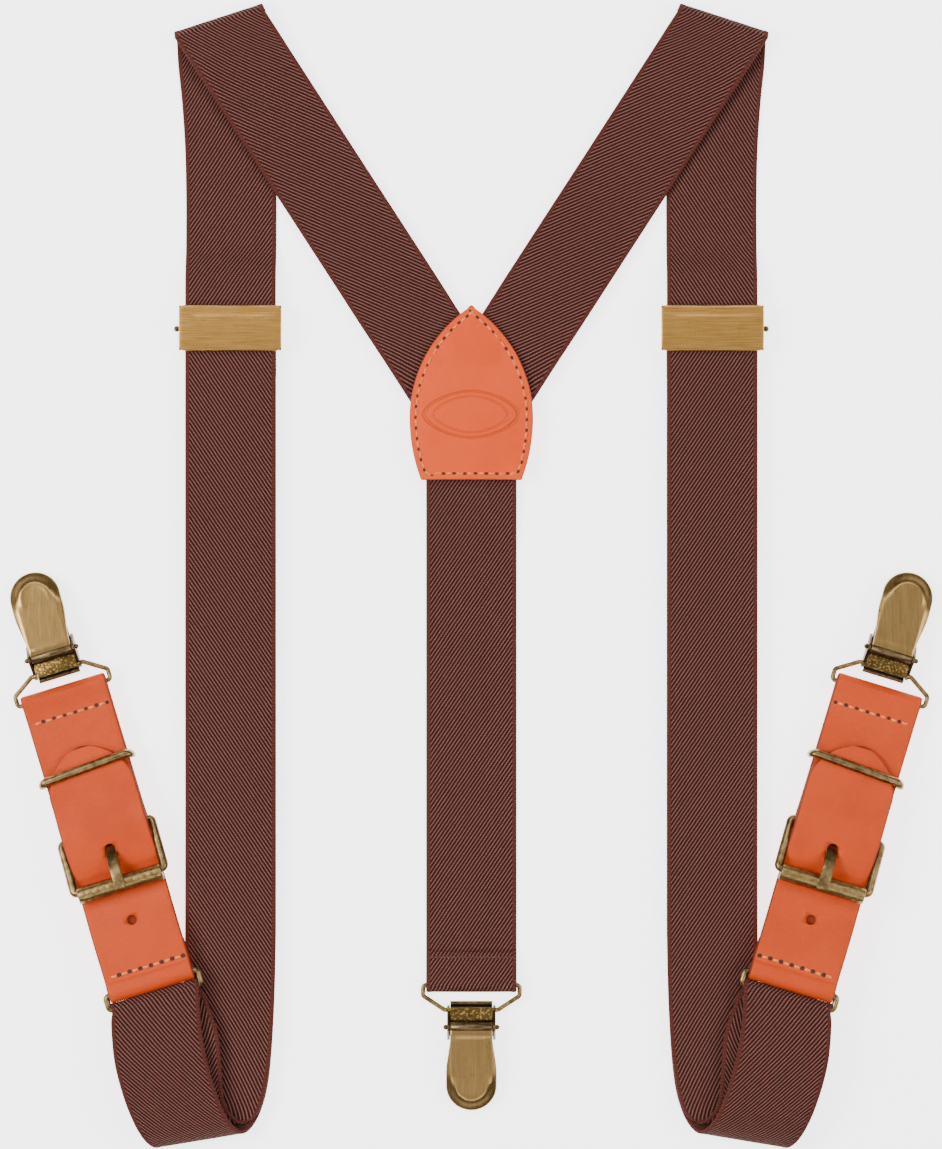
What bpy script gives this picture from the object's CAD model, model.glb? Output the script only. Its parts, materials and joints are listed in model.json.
"""Looks of the Y-back suspenders: webbing, leather, thread, brass and the studio round them.

Sizes are in millimetres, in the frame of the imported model, and become metres when a mesh is made.
The left side is modelled, and the right side is its mirror image.
"""
import enum
import json
import logging
import math
from dataclasses import dataclass, field
from typing import Callable, Optional, Sequence, Union

import bmesh
import bpy
from mathutils import Matrix, Vector

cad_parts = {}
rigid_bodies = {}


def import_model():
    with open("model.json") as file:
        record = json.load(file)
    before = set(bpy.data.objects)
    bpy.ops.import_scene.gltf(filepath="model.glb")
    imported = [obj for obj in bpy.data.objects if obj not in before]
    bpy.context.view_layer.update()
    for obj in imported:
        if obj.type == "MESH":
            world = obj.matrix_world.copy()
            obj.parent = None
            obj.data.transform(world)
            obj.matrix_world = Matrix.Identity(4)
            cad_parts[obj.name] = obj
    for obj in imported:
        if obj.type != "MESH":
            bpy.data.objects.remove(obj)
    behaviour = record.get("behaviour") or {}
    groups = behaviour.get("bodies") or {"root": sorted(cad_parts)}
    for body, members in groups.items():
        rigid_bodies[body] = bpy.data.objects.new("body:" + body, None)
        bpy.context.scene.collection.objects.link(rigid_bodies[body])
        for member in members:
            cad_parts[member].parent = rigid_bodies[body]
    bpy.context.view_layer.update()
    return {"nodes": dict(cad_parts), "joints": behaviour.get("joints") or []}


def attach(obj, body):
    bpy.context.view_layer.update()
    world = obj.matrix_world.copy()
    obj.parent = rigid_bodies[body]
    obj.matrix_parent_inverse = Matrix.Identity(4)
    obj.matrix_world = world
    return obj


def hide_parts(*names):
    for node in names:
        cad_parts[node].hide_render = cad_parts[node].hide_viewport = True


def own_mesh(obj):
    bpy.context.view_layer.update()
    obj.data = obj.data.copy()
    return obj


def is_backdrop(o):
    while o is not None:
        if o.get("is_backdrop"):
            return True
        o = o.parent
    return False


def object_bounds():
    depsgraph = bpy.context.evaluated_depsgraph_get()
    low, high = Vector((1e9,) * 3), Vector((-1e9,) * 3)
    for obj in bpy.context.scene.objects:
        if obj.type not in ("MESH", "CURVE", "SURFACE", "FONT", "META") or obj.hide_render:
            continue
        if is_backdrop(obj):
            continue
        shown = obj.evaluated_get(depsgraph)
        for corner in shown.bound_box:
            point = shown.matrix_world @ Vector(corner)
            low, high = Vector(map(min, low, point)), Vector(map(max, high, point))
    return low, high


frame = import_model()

METRES = 0.001
log = logging.getLogger("suspenders")

Point2 = tuple[float, float]
Number = Union[int, float]


# ---------------------------------------------------------------------------
# Shader maths
# ---------------------------------------------------------------------------

class Signal:
    """A number in a material's node tree, with the usual operators."""

    def __init__(self, bench: "Bench", socket: bpy.types.NodeSocket) -> None:
        """Wrap a socket.

        Args:
            bench: The bench whose tree holds the socket.
            socket: The output socket to wrap.
        """
        self.bench = bench
        self.socket = socket

    def _math(self, operation: str, *values: Union["Signal", Number]) -> "Signal":
        """Add one Math node.

        Args:
            operation: The node's operation.
            values: Its operands in order.

        Returns:
            The result.
        """
        inputs = {index: value for index, value in enumerate(values)}
        return self.bench.node("ShaderNodeMath", {"operation": operation}, inputs)

    def __add__(self, other: Union["Signal", Number]) -> "Signal":
        """Add."""
        return self._math("ADD", self, other)

    __radd__ = __add__

    def __sub__(self, other: Union["Signal", Number]) -> "Signal":
        """Subtract."""
        return self._math("SUBTRACT", self, other)

    def __rsub__(self, other: Union["Signal", Number]) -> "Signal":
        """Subtract this from a number."""
        return self._math("SUBTRACT", other, self)

    def __mul__(self, other: Union["Signal", Number]) -> "Signal":
        """Multiply."""
        return self._math("MULTIPLY", self, other)

    __rmul__ = __mul__

    def __truediv__(self, other: Union["Signal", Number]) -> "Signal":
        """Divide."""
        return self._math("DIVIDE", self, other)

    def __rtruediv__(self, other: Union["Signal", Number]) -> "Signal":
        """Divide a number by this."""
        return self._math("DIVIDE", other, self)

    def __pow__(self, other: Union["Signal", Number]) -> "Signal":
        """Raise to a power."""
        return self._math("POWER", self, other)

    def size(self) -> "Signal":
        """Return the value without its sign."""
        return self._math("ABSOLUTE", self)

    def wave(self) -> "Signal":
        """Return a sine of this many turns, between 0 and 1."""
        return self._math("SINE", self * (2 * math.pi)) * 0.5 + 0.5

    def ramp(self, low: float, high: float) -> "Signal":
        """Rise smoothly from 0 at low to 1 at high, or fall if high is the smaller.

        Args:
            low: The value that gives 0.
            high: The value that gives 1.

        Returns:
            The smooth step.
        """
        if low > high:
            return 1 - self.ramp(high, low)
        return self.bench.node("ShaderNodeMapRange", {"interpolation_type": "SMOOTHSTEP"},
                               {"Value": self, "From Min": low, "From Max": high})


class Bench:
    """A material's node tree while a finish is being mixed on it."""

    def __init__(self, name: str) -> None:
        """Start a material.

        Args:
            name: The material's name.
        """
        self.material = bpy.data.materials.new(name)
        self.material.use_nodes = True
        self.tree = self.material.node_tree
        self.shader = self.tree.nodes["Principled BSDF"]

    def node(self, kind: str, settings: Optional[dict] = None, inputs: Optional[dict] = None,
             output: Union[str, int] = 0) -> Signal:
        """Add a node of any type.

        Args:
            kind: The node's type.
            settings: Its own settings, with a ramp's stops as "stops".
            inputs: Values or signals for its sockets, by name or number.
            output: The socket to return.

        Returns:
            One of the node's outputs.
        """
        made = self.tree.nodes.new(kind)
        for name, value in (settings or {}).items():
            if name == "stops":
                self.set_stops(made.color_ramp, value)
            else:
                setattr(made, name, value)
        for name, value in (inputs or {}).items():
            self.feed(made.inputs[name], value)
        return Signal(self, made.outputs[output])

    def feed(self, socket: bpy.types.NodeSocket, value: object) -> None:
        """Link a signal to a socket, or set a plain value on it.

        Args:
            socket: The input socket.
            value: A signal, a number, a vector or a colour.
        """
        if isinstance(value, Signal):
            self.tree.links.new(value.socket, socket)
        elif isinstance(value, tuple) and len(value) == 3 and socket.type == "RGBA":
            socket.default_value = (*value, 1.0)
        else:
            socket.default_value = value

    @staticmethod
    def set_stops(ramp: bpy.types.ColorRamp, stops: Sequence[tuple[float, tuple]]) -> None:
        """Give a colour ramp its stops.

        Args:
            ramp: The ramp to fill.
            stops: Places from 0 to 1, each with a colour.
        """
        while len(ramp.elements) < len(stops):
            ramp.elements.new(0.5)
        for element, (place, colour) in zip(ramp.elements, stops):
            element.position = place
            element.color = (*colour, 1.0)

    def mix(self, low: Union[Signal, tuple], high: Union[Signal, tuple], share: Union[Signal, float],
            blend: str = "MIX") -> Signal:
        """Blend two colours.

        Args:
            low: The colour where share is 0.
            high: The colour where share is 1.
            share: The amount of the second colour.
            blend: The blend type.

        Returns:
            The blended colour.
        """
        mixer = self.tree.nodes.new("ShaderNodeMix")
        mixer.data_type = "RGBA"
        mixer.blend_type = blend
        self.feed(mixer.inputs[0], share)
        self.feed(mixer.inputs[6], low)
        self.feed(mixer.inputs[7], high)
        return Signal(self, mixer.outputs[2])

    def noise(self, where: Signal, scale: float, detail: float = 3.0, rough: float = 0.55) -> Signal:
        """Return noise around 0.5.

        Args:
            where: The coordinates.
            scale: Blobs per unit.
            detail: Octaves.
            rough: Weight of the finer octaves.

        Returns:
            The noise value.
        """
        return self.node("ShaderNodeTexNoise", {}, {"Vector": where, "Scale": scale, "Detail": detail,
                                                    "Roughness": rough})

    def place(self) -> Signal:
        """Return object coordinates."""
        return self.node("ShaderNodeTexCoord", output="Object")

    def stretched(self, scale: tuple[float, float, float], turn: float = 0.0) -> Signal:
        """Return object coordinates that are turned about Z and stretched.

        Args:
            scale: The stretch along each axis.
            turn: The turn about Z in degrees.

        Returns:
            The coordinates.
        """
        return self.node("ShaderNodeMapping", {}, {"Vector": self.place(), "Scale": scale,
                                                   "Rotation": (0.0, 0.0, math.radians(turn))})

    def across_along(self) -> tuple[Signal, Signal]:
        """Return the piece's own millimetres across and along, from its UV map."""
        uv = self.node("ShaderNodeUVMap", {"uv_map": Skin.UV})
        split = self.tree.nodes.new("ShaderNodeSeparateXYZ")
        self.tree.links.new(uv.socket, split.inputs[0])
        return Signal(self, split.outputs[0]), Signal(self, split.outputs[1])

    def rim(self) -> Signal:
        """Return the share of a cut edge at each place."""
        return self.node("ShaderNodeAttribute", {"attribute_name": Skin.RIM}, output="Fac")

    def raise_by(self, height: Signal, distance: float, strength: float = 1.0) -> None:
        """Feed a bump to the shader's normal.

        Args:
            height: The height, about 0 to 1.
            distance: Metres that a height of 1 stands for.
            strength: The bump's strength.
        """
        bump = self.node("ShaderNodeBump", {}, {"Height": height, "Distance": distance,
                                                "Strength": strength})
        self.tree.links.new(bump.socket, self.shader.inputs["Normal"])

    def finish(self, **sockets: object) -> bpy.types.Material:
        """Set the shader's sockets.

        Args:
            sockets: Values or signals by socket name, with _ for a space.

        Returns:
            The finished material.
        """
        for name, value in sockets.items():
            self.feed(self.shader.inputs[name.replace("_", " ")], value)
        return self.material


# ---------------------------------------------------------------------------
# Finishes
# ---------------------------------------------------------------------------

@dataclass(frozen=True)
class WebbingFinish:
    """Elastic webbing with a steep twill rib and plain selvedges."""

    name: str = "Brown twill webbing"
    light: tuple[float, float, float] = (0.255, 0.096, 0.073)
    dark: tuple[float, float, float] = (0.018, 0.0028, 0.0024)
    edge: tuple[float, float, float] = (0.095, 0.022, 0.015)
    width: float = 25.4
    pitch: float = 0.86
    lean: float = 34.0
    selvedge: float = 1.1
    row: float = 0.62

    def make(self) -> bpy.types.Material:
        """Mix the webbing."""
        bench = Bench(self.name)
        across, along = bench.across_along()
        wobble = bench.noise(bench.place(), 420.0, 2.0) - 0.5
        lean = math.radians(self.lean)
        slant = (across * math.cos(lean) + along * math.sin(lean)) / self.pitch
        rib = (slant + wobble * 0.22).wave() ** 2.6
        weave = rib * (0.62 + 0.38 * (along / self.row + across * 0.12).wave())
        margin = (across - self.width / 2).size()
        hem = margin.ramp(self.width / 2 - self.selvedge - 0.25, self.width / 2 - self.selvedge + 0.1)
        fuzz = bench.noise(bench.place(), 1900.0, 2.0)
        shade = bench.noise(bench.place(), 34.0, 2.0)
        cloth = bench.mix(self.dark, self.light, weave * (0.72 + 0.4 * fuzz + 0.16 * shade))
        border = bench.mix(self.dark, self.edge, 0.5 + 0.5 * (along / 0.9).wave())
        colour = bench.mix(cloth, border, hem)
        bench.raise_by(weave * (1 - hem) + 0.55 * hem, 0.00016, 0.8)
        return bench.finish(Base_Color=colour, Roughness=0.88 - 0.2 * weave, Specular_IOR_Level=0.18)


@dataclass(frozen=True)
class LeatherFinish:
    """Smooth coated leather with burnished edges, and a plain pressed lozenge where there is a stamp."""

    name: str = "Tan leather"
    face: tuple[float, float, float] = (0.560, 0.054, 0.003)
    warm: tuple[float, float, float] = (0.465, 0.041, 0.002)
    edge: tuple[float, float, float] = (0.120, 0.017, 0.004)
    stamp_y: Optional[float] = None
    stamp_size: Point2 = (13.2, 6.5)

    def pressed(self, bench: Bench) -> Signal:
        """Return the depth of the stamp's two outlines, from 0 to 1."""
        split = bench.tree.nodes.new("ShaderNodeSeparateXYZ")
        bench.tree.links.new(bench.place().socket, split.inputs[0])
        wide, high = (size * METRES for size in self.stamp_size)
        beside = Signal(bench, split.outputs[0]).size() / wide
        beyond = (Signal(bench, split.outputs[1]) - self.stamp_y * METRES).size() / high
        place = beside ** 1.7 + beyond ** 1.7
        return (place - 1.0).size().ramp(0.10, 0.03) + 0.6 * (place - 0.66).size().ramp(0.07, 0.02)

    def make(self) -> bpy.types.Material:
        """Mix the leather."""
        bench = Bench(self.name)
        where = bench.place()
        cloud = bench.noise(where, 70.0, 3.0)
        pores = bench.node("ShaderNodeTexVoronoi", {"feature": "DISTANCE_TO_EDGE"},
                           {"Vector": where, "Scale": 1500.0, "Randomness": 0.9})
        fine = bench.noise(where, 2600.0, 2.0)
        rim = bench.rim()
        colour = bench.mix(self.face, self.warm, cloud.ramp(0.35, 0.72) * 0.7)
        colour = bench.mix(colour, (0.90, 0.22, 0.07), pores.ramp(0.12, 0.42) * 0.08)
        colour = bench.mix(colour, self.edge, rim.ramp(0.35, 1.0) * 0.85)
        height = pores.ramp(0.0, 0.22) * 0.07 + fine * 0.03
        if self.stamp_y is not None:
            pressed = self.pressed(bench)
            colour = bench.mix(colour, self.edge, pressed * 0.22)
            height = height - pressed
        bench.raise_by(height, 0.00035, 0.8)
        return bench.finish(Base_Color=colour, Roughness=0.50 + 0.12 * cloud + 0.15 * rim,
                            Specular_IOR_Level=0.25)


@dataclass(frozen=True)
class ThreadFinish:
    """Waxed sewing thread, twisted."""

    name: str = "Light orange thread"
    light: tuple[float, float, float] = (1.0, 0.30, 0.075)
    dark: tuple[float, float, float] = (0.58, 0.12, 0.022)

    def make(self) -> bpy.types.Material:
        """Mix the thread."""
        bench = Bench(self.name)
        where = bench.place()
        twist = bench.noise(where, 2400.0, 1.0)
        bench.raise_by(twist, 0.00005, 0.6)
        return bench.finish(Base_Color=bench.mix(self.dark, self.light, twist.ramp(0.25, 0.6)),
                            Roughness=0.6 + 0.2 * twist, Specular_IOR_Level=0.12)


@dataclass(frozen=True)
class PitFinish:
    """The dark inside of an awl hole."""

    name: str = "Awl hole"
    colour: tuple[float, float, float] = (0.045, 0.008, 0.004)

    def make(self) -> bpy.types.Material:
        """Mix the dark of the hole."""
        bench = Bench(self.name)
        grain = bench.noise(bench.place(), 3000.0, 1.0)
        return bench.finish(Base_Color=bench.mix(self.colour, (0.10, 0.022, 0.010), grain.ramp(0.4, 0.8)),
                            Roughness=0.85)


@dataclass(frozen=True)
class BrassFinish:
    """Plated brass: brushed, darker in patches, with worn light places."""

    name: str
    light: tuple[float, float, float]
    mid: tuple[float, float, float]
    dark: tuple[float, float, float]
    brush: tuple[float, float, float] = (60.0, 60.0, 60.0)
    turn: float = 0.0
    rough: float = 0.34
    hammered: float = 0.0
    age: float = 0.5
    streaks: float = 0.8

    def make(self) -> bpy.types.Material:
        """Mix the metal."""
        bench = Bench(self.name)
        where = bench.place()
        streak = bench.noise(bench.stretched(self.brush, self.turn), 1.0, 4.0, 0.7)
        patch = bench.noise(where, 260.0, 4.0, 0.65)
        speck = bench.noise(where, 1400.0, 2.0)
        rim = bench.rim()
        colour = bench.mix(self.mid, self.light, streak.ramp(0.32, 0.68) * self.streaks + rim * 0.4)
        colour = bench.mix(colour, self.dark, patch.ramp(0.48, 0.78) * self.age)
        colour = bench.mix(colour, self.dark, speck.ramp(0.62, 0.8) * 0.35)
        height = streak * 0.5 + speck * 0.2
        if self.hammered:
            dents = bench.node("ShaderNodeTexVoronoi", {"feature": "SMOOTH_F1"},
                               {"Vector": where, "Scale": 1500.0, "Smoothness": 0.6})
            colour = bench.mix(colour, self.dark, dents.ramp(0.22, 0.5) * 0.8)
            height = height + dents * self.hammered
        bench.raise_by(height, 0.00005, 0.5)
        return bench.finish(Base_Color=colour, Metallic=1.0, Roughness=self.rough + 0.18 * patch
                            + 0.10 * streak)


@dataclass(frozen=True)
class PadFinish:
    """Soft black plastic."""

    name: str = "Black grip pad"

    def make(self) -> bpy.types.Material:
        """Mix the pad."""
        bench = Bench(self.name)
        grain = bench.noise(bench.place(), 900.0, 3.0)
        bench.raise_by(grain, 0.00004, 0.4)
        return bench.finish(Base_Color=bench.mix((0.012, 0.011, 0.010), (0.035, 0.032, 0.030), grain),
                            Roughness=0.6 + 0.2 * grain)


class Coat(enum.Enum):
    """Every finish on the suspenders, with the record's slot that it belongs to."""

    WEBBING = ("webbing", WebbingFinish())
    LEATHER = ("leather", LeatherFinish())
    PATCH = ("leather", LeatherFinish("Stamped tan leather", (0.760, 0.073, 0.004), (0.670, 0.059, 0.003),
                                      (0.260, 0.040, 0.010), -6.0))
    THREAD = ("thread", ThreadFinish())
    HEM_THREAD = ("web_thread", ThreadFinish("Brown thread", (0.16, 0.06, 0.042), (0.05, 0.016, 0.011)))
    PIT = ("thread", PitFinish())
    LEVER = ("antique_brass", BrassFinish("Brushed antique brass", (0.47, 0.30, 0.115), (0.28, 0.17, 0.056),
                                          (0.07, 0.04, 0.014), (1500.0, 90.0, 400.0), 17.0, 0.17,
                                          0.0, 0.15, 0.35))
    BARREL = ("antique_brass", BrassFinish("Dark antique brass", (0.20, 0.135, 0.065), (0.08, 0.052, 0.024),
                                           (0.018, 0.011, 0.006), (500.0, 500.0, 500.0), 0.0, 0.26, 0.0, 0.5))
    WIRE = ("antique_brass", BrassFinish("Antique brass wire", (0.37, 0.25, 0.105), (0.13, 0.082, 0.031),
                                         (0.035, 0.021, 0.010), (500.0, 500.0, 500.0), 0.0, 0.20, 0.0, 0.6))
    ROLLER = ("antique_brass", BrassFinish("Satin banded brass", (0.38, 0.255, 0.10), (0.19, 0.12, 0.043),
                                           (0.06, 0.036, 0.015), (700.0, 700.0, 700.0), 17.0, 0.24, 0.0, 0.3))
    HAMMERED = ("antique_brass", BrassFinish("Hammered brass", (0.50, 0.32, 0.095), (0.24, 0.14, 0.036),
                                             (0.045, 0.026, 0.009), (300.0, 300.0, 300.0), 0.0, 0.22,
                                             2.2, 0.6))
    ADJUSTER = ("adjuster_brass", BrassFinish("Golden brushed brass", (0.50, 0.28, 0.078),
                                              (0.32, 0.165, 0.038), (0.10, 0.05, 0.013),
                                              (90.0, 2400.0, 400.0), 0.0, 0.26, 0.0, 0.18))
    PAD = ("pad", PadFinish())

    @property
    def slot(self) -> str:
        """The record's material slot."""
        return self.value[0]

    def material(self) -> bpy.types.Material:
        """Return the finish's material, mixed once."""
        finish = self.value[1]
        return bpy.data.materials.get(finish.name) or finish.make()


# ---------------------------------------------------------------------------
# Meshes
# ---------------------------------------------------------------------------

class Side(enum.Enum):
    """The side of the wearer's back that a piece is on, as it lies."""

    LEFT = ("left", 1)
    RIGHT = ("right", -1)
    BACK = ("back", 1)

    @property
    def word(self) -> str:
        """The side's name."""
        return self.value[0]

    @property
    def sign(self) -> int:
        """Plus one as modelled, minus one mirrored."""
        return self.value[1]


@dataclass
class Skin:
    """The points, faces and millimetre UVs of a piece, before it becomes a mesh."""

    UV = "Cut"
    RIM = "rim"
    points: list[Vector] = field(default_factory=list)
    rims: list[float] = field(default_factory=list)
    faces: list[tuple[int, ...]] = field(default_factory=list)
    uvs: list[tuple[Point2, ...]] = field(default_factory=list)

    def add_point(self, point: Vector, rim: float = 0.0) -> int:
        """Add a point and return its number."""
        self.points.append(Vector(point))
        self.rims.append(rim)
        return len(self.points) - 1

    def add_face(self, corners: Sequence[int], uvs: Sequence[Point2]) -> None:
        """Add a face with a UV for each corner."""
        self.faces.append(tuple(corners))
        self.uvs.append(tuple(uvs))

    def loft(self, loops: Sequence[Sequence[Vector]], uv_of: Callable[[int, int], Point2],
             rim_of: Callable[[int, int], float] = lambda i, j: 0.0, closed: bool = False,
             caps: bool = True, uv_flip: Callable[[int], Optional[float]] = lambda i: None) -> None:
        """Join loops of equal length into a skin.

        Args:
            loops: The loops, each turning counter-clockwise seen from the end.
            uv_of: The UV of a loop's point, by loop and point number.
            rim_of: The rim share of a point.
            closed: Whether the last loop joins the first.
            caps: Whether the ends are filled.
            uv_flip: The width that mirrors U from a loop on, or None.
        """
        base = len(self.points)
        count = len(loops[0])
        for i, loop in enumerate(loops):
            for j, point in enumerate(loop):
                self.add_point(point, rim_of(i, j))
        for i in range(len(loops) if closed else len(loops) - 1):
            after = (i + 1) % len(loops)
            width = uv_flip(i)
            for j in range(count):
                k = (j + 1) % count
                corners = (base + i * count + j, base + i * count + k,
                           base + after * count + k, base + after * count + j)
                uvs = [uv_of(i, j), uv_of(i, k), uv_of(i + 1, k), uv_of(i + 1, j)]
                if width is not None:
                    uvs = [(width - u, v) for u, v in uvs]
                self.add_face(corners, uvs)
        if caps and not closed:
            last = base + (len(loops) - 1) * count
            self._cap([base + j for j in reversed(range(count))], loops[0], uv_of(0, 0))
            self._cap([last + j for j in range(count)], loops[-1], uv_of(len(loops) - 1, 0))

    def _cap(self, corners: Sequence[int], loop: Sequence[Vector], uv: Point2) -> None:
        """Fill a loop with a fan round its middle.

        Args:
            corners: The loop's point numbers in order.
            loop: The loop's points.
            uv: The UV that the whole cap takes.
        """
        middle = self.add_point(sum(loop, Vector()) / len(loop), 1.0)
        for j, corner in enumerate(corners):
            self.add_face((middle, corner, corners[(j + 1) % len(corners)]), (uv, uv, uv))

    def turned(self, matrix: Matrix) -> "Skin":
        """Move every point by a matrix, and return the skin."""
        self.points = [matrix @ point for point in self.points]
        return self

    def joined(self, other: "Skin") -> "Skin":
        """Add another skin's faces, and return this one."""
        base = len(self.points)
        self.points += other.points
        self.rims += other.rims
        self.faces += [tuple(base + corner for corner in corners) for corners in other.faces]
        self.uvs += other.uvs
        return self

    def mesh(self, name: str, side: Side = Side.LEFT) -> bpy.types.Mesh:
        """Make the mesh, in metres, with faces that point outwards.

        Args:
            name: The mesh's name.
            side: The side it is for; the right one is mirrored.

        Returns:
            The mesh.
        """
        flip = side.sign
        data = bpy.data.meshes.new(name)
        spots = [(flip * p.x * METRES, p.y * METRES, p.z * METRES) for p in self.points]
        faces = self.faces if flip > 0 else [tuple(reversed(corners)) for corners in self.faces]
        data.from_pydata(spots, [], faces)
        layer = data.uv_layers.new(name=self.UV)
        corner_uvs = [uv for uvs in self.uvs for uv in (uvs if flip > 0 else tuple(reversed(uvs)))]
        for loop, uv in zip(layer.data, corner_uvs):
            loop.uv = uv
        rim = data.attributes.new(self.RIM, "FLOAT", "POINT")
        rim.data.foreach_set("value", self.rims)
        face_outwards(data)
        data.shade_smooth()
        data.update()
        return data


def face_outwards(data: bpy.types.Mesh) -> None:
    """Merge a mesh's doubles and turn its faces outwards."""
    work = bmesh.new()
    work.from_mesh(data)
    bmesh.ops.remove_doubles(work, verts=work.verts, dist=1e-7)
    bmesh.ops.recalc_face_normals(work, faces=work.faces)
    work.to_mesh(data)
    work.free()


def place_piece(name: str, data: bpy.types.Mesh, body: str, coat: Coat, *nodes: str) -> bpy.types.Object:
    """Put a finished mesh in the scene on its body.

    Args:
        name: The piece's name.
        data: Its mesh, in place.
        body: The body it rides on.
        coat: Its finish.
        nodes: The CAD nodes that it stands for.

    Returns:
        The new object.
    """
    name = name.replace(" ", "_")
    piece = bpy.data.objects.new(name, data)
    bpy.context.scene.collection.objects.link(piece)
    if not data.materials:
        data.materials.append(coat.material())
    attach(piece, body)
    if nodes:
        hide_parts(*nodes)
    log.info("%s: %d faces on %s", name, len(data.polygons), body)
    return piece


def baked(source: bpy.types.Object) -> bpy.types.Mesh:
    """Return a plain mesh of an object with its modifiers, and remove the object."""
    graph = bpy.context.evaluated_depsgraph_get()
    data = bpy.data.meshes.new_from_object(source.evaluated_get(graph), depsgraph=graph)
    bpy.data.objects.remove(source)
    return data


def cut(data: bpy.types.Mesh, cutters: Sequence[bpy.types.Mesh]) -> bpy.types.Mesh:
    """Cut holes in a mesh.

    Args:
        data: The closed mesh to cut.
        cutters: Closed meshes to take away.

    Returns:
        The cut mesh.
    """
    scene = bpy.context.scene.collection.objects
    body = bpy.data.objects.new("Blank", data)
    scene.link(body)
    tools = []
    for number, cutter in enumerate(cutters):
        tool = bpy.data.objects.new(f"Punch {number}", cutter)
        scene.link(tool)
        tools.append(tool)
        step = body.modifiers.new("Punch", "BOOLEAN")
        step.operation = "DIFFERENCE"
        step.solver = "MANIFOLD"
        step.object = tool
    result = baked(body)
    for tool in tools:
        bpy.data.objects.remove(tool)
    return result


def softened(node: str, width: float, segments: int = 2) -> bpy.types.Mesh:
    """Copy a CAD node's mesh with its sharp edges rounded.

    Args:
        node: The CAD node.
        width: The rounding's width in millimetres.
        segments: The rounding's steps.

    Returns:
        The rounded mesh.
    """
    data = frame["nodes"][node].data.copy()
    data.materials.clear()
    work = bmesh.new()
    work.from_mesh(data)
    bmesh.ops.remove_doubles(work, verts=work.verts, dist=2e-6)
    bmesh.ops.dissolve_limit(work, angle_limit=math.radians(1.5), verts=work.verts, edges=work.edges)
    work.to_mesh(data)
    work.free()
    blank = bpy.data.objects.new(node, data)
    bpy.context.scene.collection.objects.link(blank)
    bevel = blank.modifiers.new("Edges", "BEVEL")
    bevel.width = width * METRES
    bevel.segments = segments
    bevel.limit_method = "ANGLE"
    bevel.angle_limit = math.radians(34)
    bevel.harden_normals = False
    result = baked(blank)
    result.shade_smooth()
    result.set_sharp_from_angle(angle=math.radians(40))
    return result


# ---------------------------------------------------------------------------
# Shapes that several pieces share
# ---------------------------------------------------------------------------

def tube(route: Sequence[Vector], radius: Union[float, Callable[[int], float]], closed: bool = False,
         sides: int = 16, up: Vector = Vector((0, 0, 1))) -> Skin:
    """Run a round wire along a route.

    Args:
        route: The wire's middle line.
        radius: Its radius, or a function of the point's number.
        closed: Whether the route closes on itself.
        sides: Faces round the wire.
        up: A direction that the route never takes.

    Returns:
        The wire's skin.
    """
    count = len(route)
    loops = []
    runs = [0.0]
    for i, point in enumerate(route):
        before = route[(i - 1) % count] if closed or i > 0 else point
        after = route[(i + 1) % count] if closed or i < count - 1 else point
        way = (after - before).normalized()
        aside = way.cross(up).normalized()
        top = aside.cross(way).normalized()
        size = radius(i) if callable(radius) else radius
        loops.append([point + size * (math.cos(a) * aside + math.sin(a) * top)
                      for a in (2 * math.pi * k / sides for k in range(sides))])
        runs.append(runs[-1] + (route[(i + 1) % count] - point).length)
    skin = Skin()
    skin.loft(loops, lambda i, j: (j / sides, runs[min(i, count)]), closed=closed)
    return skin


def rounded_route(corners: Sequence[Vector], bend: float, steps: int = 8,
                  closed: bool = False) -> list[Vector]:
    """Round a route's corners with arcs.

    Args:
        corners: The route's corner points.
        bend: The arcs' radius.
        steps: Points along each arc.
        closed: Whether the first and last points are corners too.

    Returns:
        The rounded route.
    """
    count = len(corners)
    route = []
    for i, corner in enumerate(corners):
        if not closed and i in (0, count - 1):
            route.append(corner.copy())
            continue
        back = (corners[i - 1] - corner).normalized()
        on = (corners[(i + 1) % count] - corner).normalized()
        half = math.acos(max(-1, min(1, back.dot(on)))) / 2
        if half > math.pi / 2 - 0.01:
            route.append(corner.copy())
            continue
        centre = corner + (back + on).normalized() * bend / math.sin(half)
        start = corner + back * bend / math.tan(half) - centre
        end = corner + on * bend / math.tan(half) - centre
        for k in range(steps + 1):
            route.append(centre + start.slerp(end, k / steps))
    return route


def lathed(profile: Sequence[Point2], sides: int = 28) -> Skin:
    """Turn a profile round the X axis.

    Args:
        profile: Places along X, each with a radius.
        sides: Faces round the axis.

    Returns:
        The turned skin.
    """
    loops = [[Vector((x, r * math.cos(a), r * math.sin(a)))
              for a in (2 * math.pi * k / sides for k in range(sides))] for x, r in profile]
    skin = Skin()
    skin.loft(loops, lambda i, j: (j / sides * 10, profile[min(i, len(profile) - 1)][0]))
    return skin


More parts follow.
